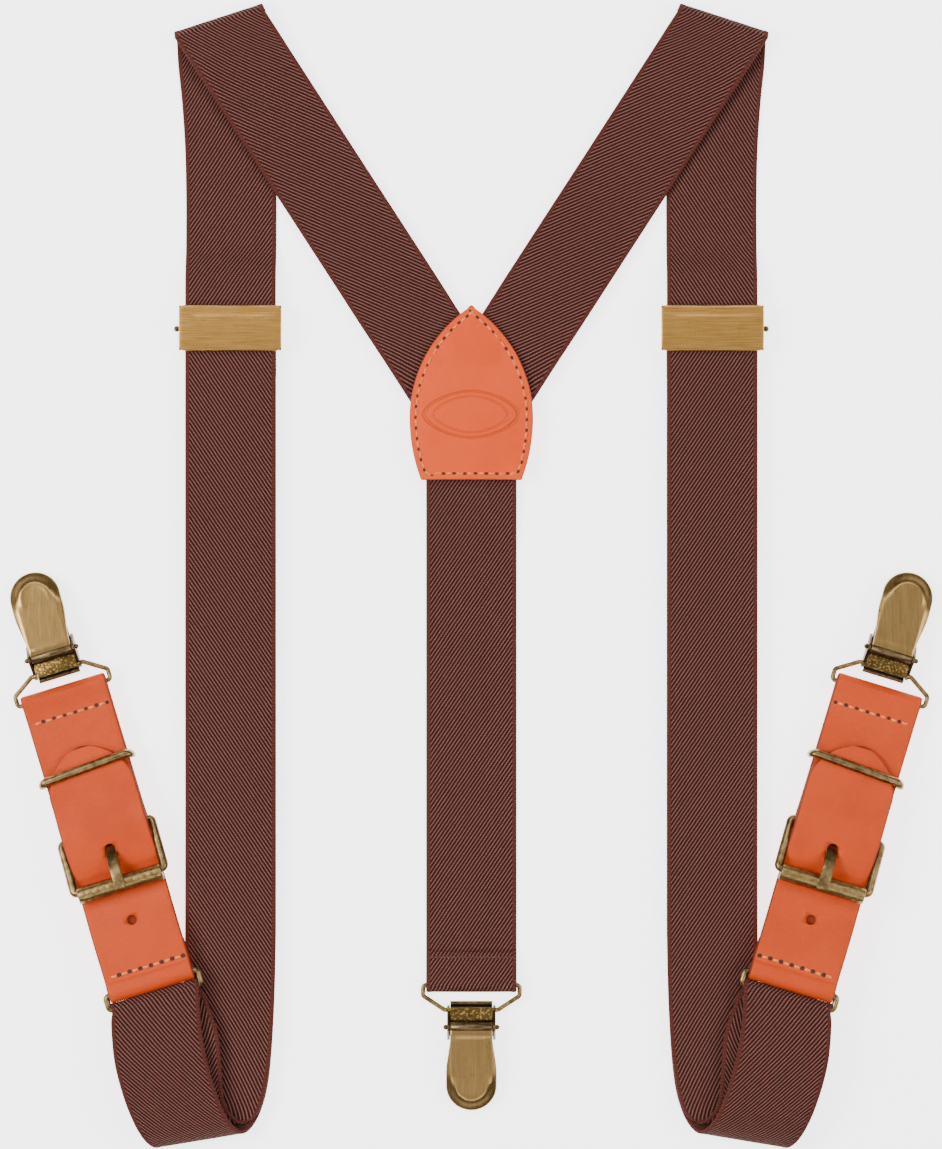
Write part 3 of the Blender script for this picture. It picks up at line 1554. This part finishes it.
@dataclass
class Tab(SideGroup):
    """One leather tab with its ring, roller buckle, keeper and stitches."""

    strip: LeatherStrip = field(default_factory=LeatherStrip)
    turn: float = 17.0
    slope: float = 2.4
    out: float = 88.65
    drop: float = 166.6
    high: float = 9.5
    ring_r: float = 0.9
    ring_l: float = 29.8
    bar_up: float = 2.65
    bar_down: float = -2.65
    hole_y: float = 20.4
    hole_r: float = 1.4
    roller_y: float = 31.0
    roller_z: float = 2.7
    roller_r: float = 2.4
    hinge_y: float = 46.9
    chape_z: float = -1.55
    buckle_r: float = 1.2
    buckle_w: float = 30.5
    clip_y: float = 86.5
    loop_r: float = 0.65
    keeper_y: float = 63.6
    keeper_r: float = 1.25
    keeper_skew: float = 3.0
    keeper_bow: float = 2.6
    prong_w: float = 3.0
    gap: float = 0.15
    stitch_half: float = 9.3

    def place(self) -> Matrix:
        """The tab's place on the left side."""
        return tab_place(self.turn, self.slope, self.out, self.drop, self.high)

    def punch(self, y: float, radius: float, stretch: float = 0.0, bottom: float = -9.0,
              sides: int = 32) -> bpy.types.Mesh:
        """A round or long punch into the leather.

        Args:
            y: The hole's middle along the tab.
            radius: Its radius.
            stretch: The length between its two round ends.
            bottom: The height at which it stops.
            sides: Points round it.

        Returns:
            The punch's mesh, in place.
        """
        ring = []
        for k in range(sides):
            a = 2 * math.pi * k / sides
            ring.append((radius * math.cos(a),
                         y + radius * math.sin(a) + math.copysign(stretch / 2, math.sin(a))))
        loops = [[Vector((px, py, z)) for px, py in ring] for z in (bottom, 9.0)]
        skin = Skin()
        skin.loft(loops, lambda i, j: (0.0, 0.0), lambda i, j: 1.0)
        return skin.turned(self.place()).mesh("Punch", self.side)

    def build_leather(self) -> None:
        """Fold both leathers, punch them and sew them."""
        word = self.side.word
        wide = self.strip.width / 2
        thick = self.strip.thick
        wrap = self.ring_r + self.gap + thick / 2
        mid = thick / 2
        low = self.roller_z - self.roller_r - self.gap - mid
        hump = self.chape_z + self.buckle_r + self.gap + thick + 0.1 + mid
        tip_y = self.hinge_y + 24
        lay = self.gap
        billet = [(11.5, -mid), (8.5, -mid), (5.8, -mid - 0.05), (self.bar_up + 1.2, -wrap + 0.12)]
        billet += half_turn(self.bar_up, 0.0, -(wrap + 0.25), -wrap, 20)
        billet += [(self.bar_up + 1.6, wrap - 0.35), (5.3, mid + 0.12), (6.8, mid - 0.02), (9, mid + 0.02),
                   (14, mid), (20, mid - 0.2), (self.roller_y - 4.5, low + 0.12), (self.roller_y, low),
                   (self.roller_y + 3.2, low + 0.15), (self.roller_y + 8, mid + 0.35),
                   (self.hinge_y - 3, hump - 0.25), (self.hinge_y, hump), (self.hinge_y + 3, hump - 0.25),
                   (self.hinge_y + 8, mid + lay), (self.hinge_y + 14, mid + lay), (tip_y - 4, mid + lay),
                   (tip_y - 1.2, mid + lay), (tip_y - 0.3, mid + lay), (tip_y, mid + lay)]

        def tapered(left: float) -> float:
            """The half width at a distance from the tip."""
            if left >= wide:
                return wide
            return max(0.35, wide * max(0.0, 1 - (1 - left / wide) ** 1.8) ** 0.6)

        data = self.strip.skin(eased(billet, 5), tapered).turned(self.place()).mesh("Billet", self.side)
        adjusting = self.punch(self.hole_y, self.hole_r, bottom=0.0)
        prong_hole = self.punch(self.hinge_y - 6.4, 1.62, 0.8)
        data = cut(data, [adjusting, prong_hole])
        data.materials.clear()
        place_piece(f"{word} billet leather", data, f"{word}_tab", Coat.LEATHER, f"{word}_billet")
        hinge_wrap = self.buckle_r + self.gap + mid
        clip_wrap = self.loop_r + self.gap + mid
        meet = self.hinge_y + 18
        z = self.chape_z
        part = mid + 0.04
        chape = [(meet, z - part), (self.hinge_y + 8, z - part), (self.hinge_y + 4, z - part - 0.2)]
        chape += half_turn(self.hinge_y, z, -hinge_wrap, -hinge_wrap, 20)
        chape += [(self.hinge_y + 4, z + part + 0.25), (self.hinge_y + 8, z + part), (meet, z + part),
                  (self.clip_y - 9, z + part), (self.clip_y - 6, z + part),
                  (self.clip_y - 3.4, z + part + 0.15)]
        chape += half_turn(self.clip_y, z, clip_wrap, clip_wrap, 20)
        chape += [(self.clip_y - 3.4, z - part - 0.15), (self.clip_y - 8, z - part), (meet + 0.5, z - part)]
        skin = self.strip.skin(eased(chape, 4), lambda left: wide)
        data = skin.turned(self.place()).mesh("Chape", self.side)
        data = cut(data, [self.punch(self.hinge_y - 0.4, self.prong_w / 2 + 0.4, 3.6)])
        data.materials.clear()
        place_piece(f"{word} chape leather", data, f"{word}_tab", Coat.LEATHER, f"{word}_chape")
        seam = Seam(pitch=3.1, stitch=1.4, thread=0.4)
        for name, y, height in (("billet", 6.8, thick), ("chape", self.clip_y - 6, z + thick)):
            route = [self.place() @ Vector((x, y, height - 0.03))
                     for x in (-self.stitch_half, self.stitch_half)]
            place_piece(f"{word} {name} stitches", seam.sew(name, route, self.side, Coat.THREAD),
                        f"{word}_tab", Coat.THREAD, f"{word}_{name}_thread")

    def wire_frame(self, half: float, y0: float, y1: float, corner: float, radius: float,
                   stand: Matrix = Matrix()) -> Skin:
        """A rounded rectangle of wire in the X-Y plane, then stood up by a matrix."""
        corners = [Vector((-half, y0, 0)), Vector((half, y0, 0)),
                   Vector((half, y1, 0)), Vector((-half, y1, 0))]
        route = rounded_route(corners, corner, 7, closed=True)
        return tube(route, radius, closed=True, sides=20).turned(stand)

    def build_metal(self) -> None:
        """Build the ring, the buckle and the keeper."""
        ring = self.wire_frame(self.ring_l / 2 - self.ring_r, self.bar_down, self.bar_up, 1.7, self.ring_r)
        self.put("ring", ring, "ring", Coat.WIRE, "ring")
        rise = math.atan2(self.roller_z - self.chape_z, self.hinge_y - self.roller_y)
        stand = Matrix.Translation((0, self.hinge_y, self.chape_z)) @ Matrix.Rotation(-rise, 4, "X")
        run = math.hypot(self.hinge_y - self.roller_y, self.roller_z - self.chape_z)
        half = self.buckle_w / 2 - self.buckle_r
        buckle = self.wire_frame(half, -run, 0, 1.9, self.buckle_r, stand)
        self.put("buckle frame", buckle, "tab", Coat.WIRE, "buckle_frame")
        reach = half - 1.9
        bore, wall = self.buckle_r + 0.06, self.roller_r
        profile = [(-reach, bore), (-reach, wall - 0.25), (-reach + 0.12, wall - 0.07), (-reach + 0.35, wall)]
        for k in range(1, 12):
            x = -reach + 0.5 + (2 * reach - 1.0) * k / 12
            profile += [(x - 0.16, wall), (x, wall - 0.03), (x + 0.16, wall)]
        profile += [(reach - 0.35, wall), (reach - 0.12, wall - 0.07), (reach, wall - 0.25), (reach, bore)]
        roller = lathed(profile, 36).turned(stand @ Matrix.Translation((0, -run, 0)))
        self.put("roller", roller, "roller", Coat.ROLLER, "buckle_roller")
        high = self.strip.thick + 0.65 + self.keeper_r
        low = self.chape_z - self.strip.thick - 0.4 - self.keeper_r
        reach = self.strip.width / 2 + 0.3 + self.keeper_r
        stood = Matrix.Rotation(math.radians(90), 4, "X")
        keeper = self.wire_frame(reach, low, high, 2.0, self.keeper_r, stood)
        for point in keeper.points:
            point.y += self.keeper_bow * (1.15 - (point.x / reach) ** 2)
        keeper.turned(Matrix.Translation((0, self.keeper_y, 0))
                      @ Matrix.Rotation(math.radians(self.keeper_skew), 4, "Z"))
        self.put("keeper", keeper, "keeper", Coat.WIRE, "keeper")
        self.refine("prong", "buckle_prong", "prong", Coat.WIRE, 0.42, 4)

    def build(self) -> None:
        """Build the whole tab."""
        self.build_leather()
        self.build_metal()


# ---------------------------------------------------------------------------
# Adjuster
# ---------------------------------------------------------------------------

@dataclass
class Adjuster(SideGroup):
    """One strap adjuster: a folded cover that hinges on a frame, and the rod below it."""

    x: float = -67.4
    y: float = 18.1
    width: float = 28.6
    length: float = 12.8
    cover_z: float = 6.75
    sheet: float = 0.8
    rod_z: float = 2.0
    rod_r: float = 0.6
    head_x: float = 15.2
    head_r: float = 0.85
    corner: float = 1.5
    flange: tuple[Point2, ...] = ((-5.6, 5.3), (5.7, 5.1), (6.25, 5.95), (6.25, 6.9), (-6.25, 6.9))
    lip: tuple[Point2, ...] = ((-6.3, 5.6), (-5.7, 5.6), (-5.7, 6.9), (-6.3, 6.9))

    def place(self) -> Matrix:
        """The adjuster's place on the left strap."""
        return Matrix.Translation((self.x, self.y, 0))

    def outline(self) -> list[Point2]:
        """The cover's outline, counter-clockwise."""
        hx, hy, r = self.width / 2, self.length / 2, self.corner
        edge = []
        for cx, cy, start in ((hx - r, -hy + r, -90), (hx - r, hy - r, 0),
                              (-hx + r, hy - r, 90), (-hx + r, -hy + r, 180)):
            edge += arc((cx, cy), r, start, start + 90, 6)
        full = []
        for a, b in zip(edge, edge[1:] + edge[:1]):
            steps = max(1, int(math.dist(a, b) / 1.1))
            full += [(a[0] + (b[0] - a[0]) * k / steps, a[1] + (b[1] - a[1]) * k / steps)
                     for k in range(steps)]
        return full

    def top(self, x: float, y: float) -> float:
        """The cover's height: a low crown, with a bent ridge near its hinge edge."""
        crown = 0.48 * (1 - (y / (self.length / 2)) ** 2) * blend_steps(-9.0, 3.0, 3.0 - y)
        bow = 0.5 * (x / self.width) ** 2
        ridge = 0.22 * math.exp(-((y - 3.0 + bow) / 0.30) ** 2)
        lip = 0.16 * math.exp(-((y - 5.6 - bow) / 0.32) ** 2)
        return self.cover_z + self.sheet + crown + ridge + lip - 0.4

    def build(self) -> None:
        """Build the cover and the rod, and finish the frame and the hinge pin."""
        word = self.side.word
        cover = plate(self.outline(), (0.0, 0.0), self.top, self.sheet, 0.32, skirt=0.2, inner=14)
        for side in (-1, 1):
            cover.joined(prism(self.flange, 0.6, side * (self.width / 2 - 0.32)))
        cover.joined(prism(self.lip, self.width - 3.1))
        self.put("adjuster cover", cover, "cover", Coat.ADJUSTER, "adjuster_cover")
        stop = self.width / 2 - 0.9
        head = -self.side.sign
        rod = [(-stop * head, 0.02), (-stop * head, self.rod_r)]
        ball = [(head * (self.head_x - math.cos(a) * self.head_r), self.head_r * math.sin(a))
                for a in (math.radians(40 + 14 * k) for k in range(11))]
        profile = rod + [(head * (self.head_x - 1.2), self.rod_r)] + ball
        if head < 0:
            profile = profile[::-1]
        skin = lathed(profile, 20).turned(Matrix.Translation((self.x * self.side.sign, self.y, self.rod_z)))
        place_piece(f"{word} adjuster rod", skin.mesh("Rod", Side.BACK), f"{word}_adjuster", Coat.BARREL,
                    f"{word}_adjuster_rod")
        self.refine("adjuster frame", "adjuster_frame", "adjuster", Coat.ADJUSTER, 0.12)
        self.refine("adjuster pin", "adjuster_pin", "adjuster", Coat.ADJUSTER, 0.12)


# ---------------------------------------------------------------------------
# Clips
# ---------------------------------------------------------------------------

@dataclass
class Clip(SideGroup):
    """One spring clip on its wire loop, from the loop's bar, with plus Y toward its tip."""

    stand: Matrix
    loop_hw: float = 13.5
    loop_y: float = 3.0
    loop_r: float = 0.65
    leg_x: float = 7.5
    swivel_y: float = 6.9
    pin_y: float = 11.5
    pin_z: float = 3.0
    roll: float = 1.5
    lever_l: float = 23.6
    shoulder_hw: float = 5.9
    lever_hw: float = 7.1
    sheet: float = 0.8
    jaw_hw: float = 5.0

    @property
    def tip(self) -> float:
        """The lever's tip along Y."""
        return self.pin_y + self.lever_l

    def place(self) -> Matrix:
        """The clip's place on the left side."""
        return self.stand

    def lever_half(self, y: float) -> float:
        """The lever's half width at a place along it."""
        along = y - self.pin_y
        neck = self.shoulder_hw + (self.lever_hw - self.shoulder_hw) * blend_steps(2.0, 13.0, along)
        centre = self.tip - self.lever_hw
        if y <= centre:
            return neck
        return self.lever_hw * math.sqrt(max(0.0, 1 - ((y - centre) / self.lever_hw) ** 2))

    def lever_outline(self) -> list[Point2]:
        """The lever's outline, counter-clockwise from its shoulder."""
        start = self.pin_y - self.roll * 0.6
        centre = self.tip - self.lever_hw
        right = [(self.lever_half(start + (centre - start) * k / 16), start + (centre - start) * k / 16)
                 for k in range(16)]
        right += arc((0.0, centre), self.lever_hw, 0, 90, 14)
        foot = [(self.shoulder_hw * k / 5, start) for k in range(0, 5)]
        half = foot + right
        return half + [(-x, y) for x, y in reversed(half[1:-1])]

    def lever_top(self, x: float, y: float) -> float:
        """The lever's height: a crest by the barrel, a shallow dish, and an edge that falls all round."""
        along = y - self.pin_y
        height = self.pin_z + self.roll - 0.30
        crest = 0.30 * math.exp(-((along - 1.9) / 0.6) ** 2)
        height -= 0.035 * max(0.0, along - 2.0) ** 1.3
        centre = self.tip - self.lever_hw
        away = math.hypot(x, max(0.0, y - centre)) / self.lever_hw
        end = blend_steps(centre - 3.0, centre + 2.5, y)
        flank = 0.6 * blend_steps(0.76, 1.04, away)
        nose = 1.6 * blend_steps(0.56, 1.02, away) - 0.12 * math.exp(-((away - 0.56) / 0.07) ** 2)
        return height + crest - flank * (1 - end) - nose * end

    def build_lever(self) -> None:
        """Build the lever: a shaped plate on a rolled barrel, with its cam."""
        lever = plate(self.lever_outline(), (0.0, self.pin_y + 12), self.lever_top, 0.55, 0.34, skirt=0.9,
                      inner=18)
        hw = self.shoulder_hw
        bore = 0.66
        barrel = [(-hw, bore), (-hw, self.roll - 0.2), (-hw + 0.2, self.roll), (hw - 0.2, self.roll),
                  (hw, self.roll - 0.2), (hw, bore)]
        core = lathed(barrel, 30).turned(Matrix.Translation((0, self.pin_y, self.pin_z)))
        cam_z = 1.3
        cam = [(self.pin_y + 1.3 * math.cos(math.radians(a)), cam_z + 1.2 * math.sin(math.radians(a)))
               for a in range(180, 361, 20)]
        cam += [(self.pin_y + 1.3, self.pin_z), (self.pin_y - 1.3, self.pin_z)]
        core.joined(prism(cam, 2 * self.jaw_hw - 0.6))
        self.put("lever barrel", core, "lever", Coat.BARREL)
        self.put("clip lever", lever, "lever", Coat.LEVER, "clip_lever")

    def build_rest(self) -> None:
        """Build the wire loop and the pin, and finish the base and the pad."""
        corners = [Vector((-self.leg_x + 1.3, self.swivel_y, 0)), Vector((-self.leg_x, self.swivel_y, 0)),
                   Vector((-self.loop_hw, self.loop_y, 0)), Vector((-self.loop_hw, 0, 0)),
                   Vector((self.loop_hw, 0, 0)), Vector((self.loop_hw, self.loop_y, 0)),
                   Vector((self.leg_x, self.swivel_y, 0)), Vector((self.leg_x - 1.3, self.swivel_y, 0))]
        route = rounded_route(corners, 0.95, 7)
        self.put("clip loop", tube(route, self.loop_r, sides=18), "clip_loop", Coat.WIRE, "clip_wire")
        reach, bead = 6.95, 0.72
        left = [(-reach - 0.25 - math.cos(a) * bead, bead * math.sin(a))
                for a in (math.radians(2 + 14 * k) for k in range(10))]
        right = [(-x, r) for x, r in reversed(left)]
        pin = lathed(left + [(-reach, 0.6), (reach, 0.6)] + right, 20)
        pin.turned(Matrix.Translation((0, self.pin_y, self.pin_z)))
        self.put("clip pin", pin, "clip", Coat.BARREL, "clip_pin")
        self.refine("clip base", "clip_base", "clip", Coat.BARREL, 0.2, 3)
        self.refine("clip pad", "clip_pad", "clip", Coat.PAD, 0.25, 3)

    def build(self) -> None:
        """Build the whole clip."""
        self.build_lever()
        self.refine("clip jaw", "clip_jaw", "jaw", Coat.HAMMERED, 0.22, 3)
        self.build_rest()


# ---------------------------------------------------------------------------
# Studio
# ---------------------------------------------------------------------------

@dataclass
class Studio:
    """The floor, the lights and the camera."""

    view_centre: tuple[float, float] = (-0.0001, -0.0508)
    view_height: float = 0.3228
    distance: float = 1.2
    film: float = 36.0
    floor_half: float = 1.5
    floor_tone: tuple[float, float, float] = (0.93, 0.93, 0.93)
    floor_glow: float = 3.2
    wall: tuple[float, float, float] = (0.055, 0.052, 0.05)
    ceiling: tuple[float, float, float] = (1.35, 1.35, 1.38)

    def light(self, name: str, place: tuple[float, float, float], size: float, power: float,
              depth: float = 0.0) -> None:
        """Hang a soft light that faces the suspenders.

        Args:
            name: The light's name.
            place: Its place in metres.
            size: Its width in metres.
            power: Its power in watts.
            depth: Its depth in metres if it isn't square.
        """
        lamp = bpy.data.lights.new(name, "AREA")
        lamp.shape = "RECTANGLE"
        lamp.size = size
        lamp.size_y = depth or size
        lamp.energy = power
        fixture = bpy.data.objects.new(name, lamp)
        fixture.location = place
        aim = Vector((self.view_centre[0], self.view_centre[1], 0)) - Vector(place)
        fixture.rotation_euler = aim.to_track_quat("-Z", "Y").to_euler()
        bpy.context.scene.collection.objects.link(fixture)

    def floor(self) -> None:
        """Lay the pale floor just below the lowest point."""
        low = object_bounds()[0][2]
        half = self.floor_half
        data = bpy.data.meshes.new("Floor")
        data.from_pydata([(-half, -half, low), (half, -half, low), (half, half, low), (-half, half, low)], [],
                         [(0, 1, 2, 3)])
        bench = Bench("Pale floor")
        data.materials.append(bench.finish(Base_Color=self.floor_tone, Roughness=0.9, Specular_IOR_Level=0.1,
                                           Emission_Color=self.floor_tone,
                                           Emission_Strength=self.floor_glow))
        floor = bpy.data.objects.new("Floor", data)
        bpy.context.scene.collection.objects.link(floor)
        floor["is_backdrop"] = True

    def room(self) -> None:
        """Surround the table with a room that is light overhead and dark at its walls."""
        world = bpy.data.worlds.new("Soft room")
        world.use_nodes = True
        tree = world.node_tree
        sky = tree.nodes["Background"]
        place = tree.nodes.new("ShaderNodeTexCoord")
        split = tree.nodes.new("ShaderNodeSeparateXYZ")
        shade = tree.nodes.new("ShaderNodeValToRGB")
        Bench.set_stops(shade.color_ramp, [(0.0, self.wall), (0.72, self.wall), (0.97, self.ceiling)])
        tree.links.new(place.outputs["Generated"], split.inputs[0])
        tree.links.new(split.outputs[2], shade.inputs[0])
        tree.links.new(shade.outputs[0], sky.inputs["Color"])
        sky.inputs["Strength"].default_value = 0.62
        bpy.context.scene.world = world

    def build(self) -> None:
        """Set up the studio."""
        self.floor()
        self.room()
        self.light("Key", (-0.90, 0.05, 1.05), 0.6, 19.0)
        self.light("Fill", (0.98, -0.10, 1.0), 0.7, 10.0)
        self.light("Upper strip", (0.0, 0.72, 1.0), 1.3, 6.0, 0.12)
        self.light("Lower strip", (0.0, -0.86, 1.0), 1.3, 5.0, 0.12)
        lens = bpy.data.cameras.new("Camera")
        lens.sensor_width = self.film
        lens.lens = self.film * self.distance / self.view_height
        lens.clip_end = 20.0
        camera = bpy.data.objects.new("Camera", lens)
        camera.location = (*self.view_centre, self.distance)
        bpy.context.scene.collection.objects.link(camera)
        bpy.context.scene.camera = camera


def main() -> None:
    """Build the suspenders, piece by piece, and the studio."""
    logging.basicConfig(level=logging.INFO, format="%(message)s")
    JoiningPatch().build()
    BackStrap().build()
    Clip(Side.BACK, Matrix.Translation((0, -165.9, 2.4)) @ Matrix.Rotation(math.pi, 4, "Z")).build()
    for side in (Side.LEFT, Side.RIGHT):
        FrontStrap(side).build()
        Adjuster(side).build()
        tab = Tab(side)
        tab.build()
        Clip(side, tab.place() @ Matrix.Translation((0, tab.clip_y, tab.chape_z))).build()
    Studio().build()


if __name__ == "__main__":
    main()
